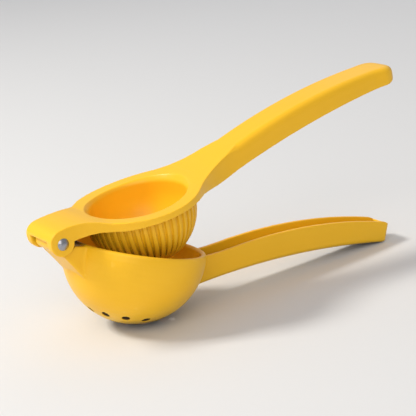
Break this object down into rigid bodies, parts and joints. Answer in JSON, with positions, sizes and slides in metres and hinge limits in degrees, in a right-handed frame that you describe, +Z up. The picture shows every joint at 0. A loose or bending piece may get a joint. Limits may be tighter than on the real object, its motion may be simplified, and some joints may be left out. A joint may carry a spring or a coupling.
{
  "type": "hinged lemon squeezer",
  "caption": "Hand lemon squeezer: a perforated bowl and a fluted press cup on two curved channel handles, turning on one rivet, standing open.",
  "frame": {"origin": "point of the table under the lowest point of the round bowl, as the squeezer rests on its bowl and on the tip of the bowl lever", "axes": "+X along the handles away from the hinge, +Y across the levers along the hinge, +Z up from the table"},
  "size_m": [0.2259, 0.074, 0.1014],
  "materials": {
    "yellow_enamel": "satin baked enamel over a cast aluminium body",
    "rivet_steel": "turned steel rivet with domed heads"
  },
  "bodies": {
    "bowl_lever": {"bowl_lever": "yellow_enamel"},
    "press_lever": {"press_lever": "yellow_enamel", "hinge_rivet": "rivet_steel"}
  },
  "joints": [
    {"name": "hinge", "type": "hinge", "parent": "bowl_lever", "child": "press_lever", "pos_m": [-0.04553, 0, 0.05614], "axis": [0, -1, 0], "range_deg": [-20.3, 66]}
  ]
}
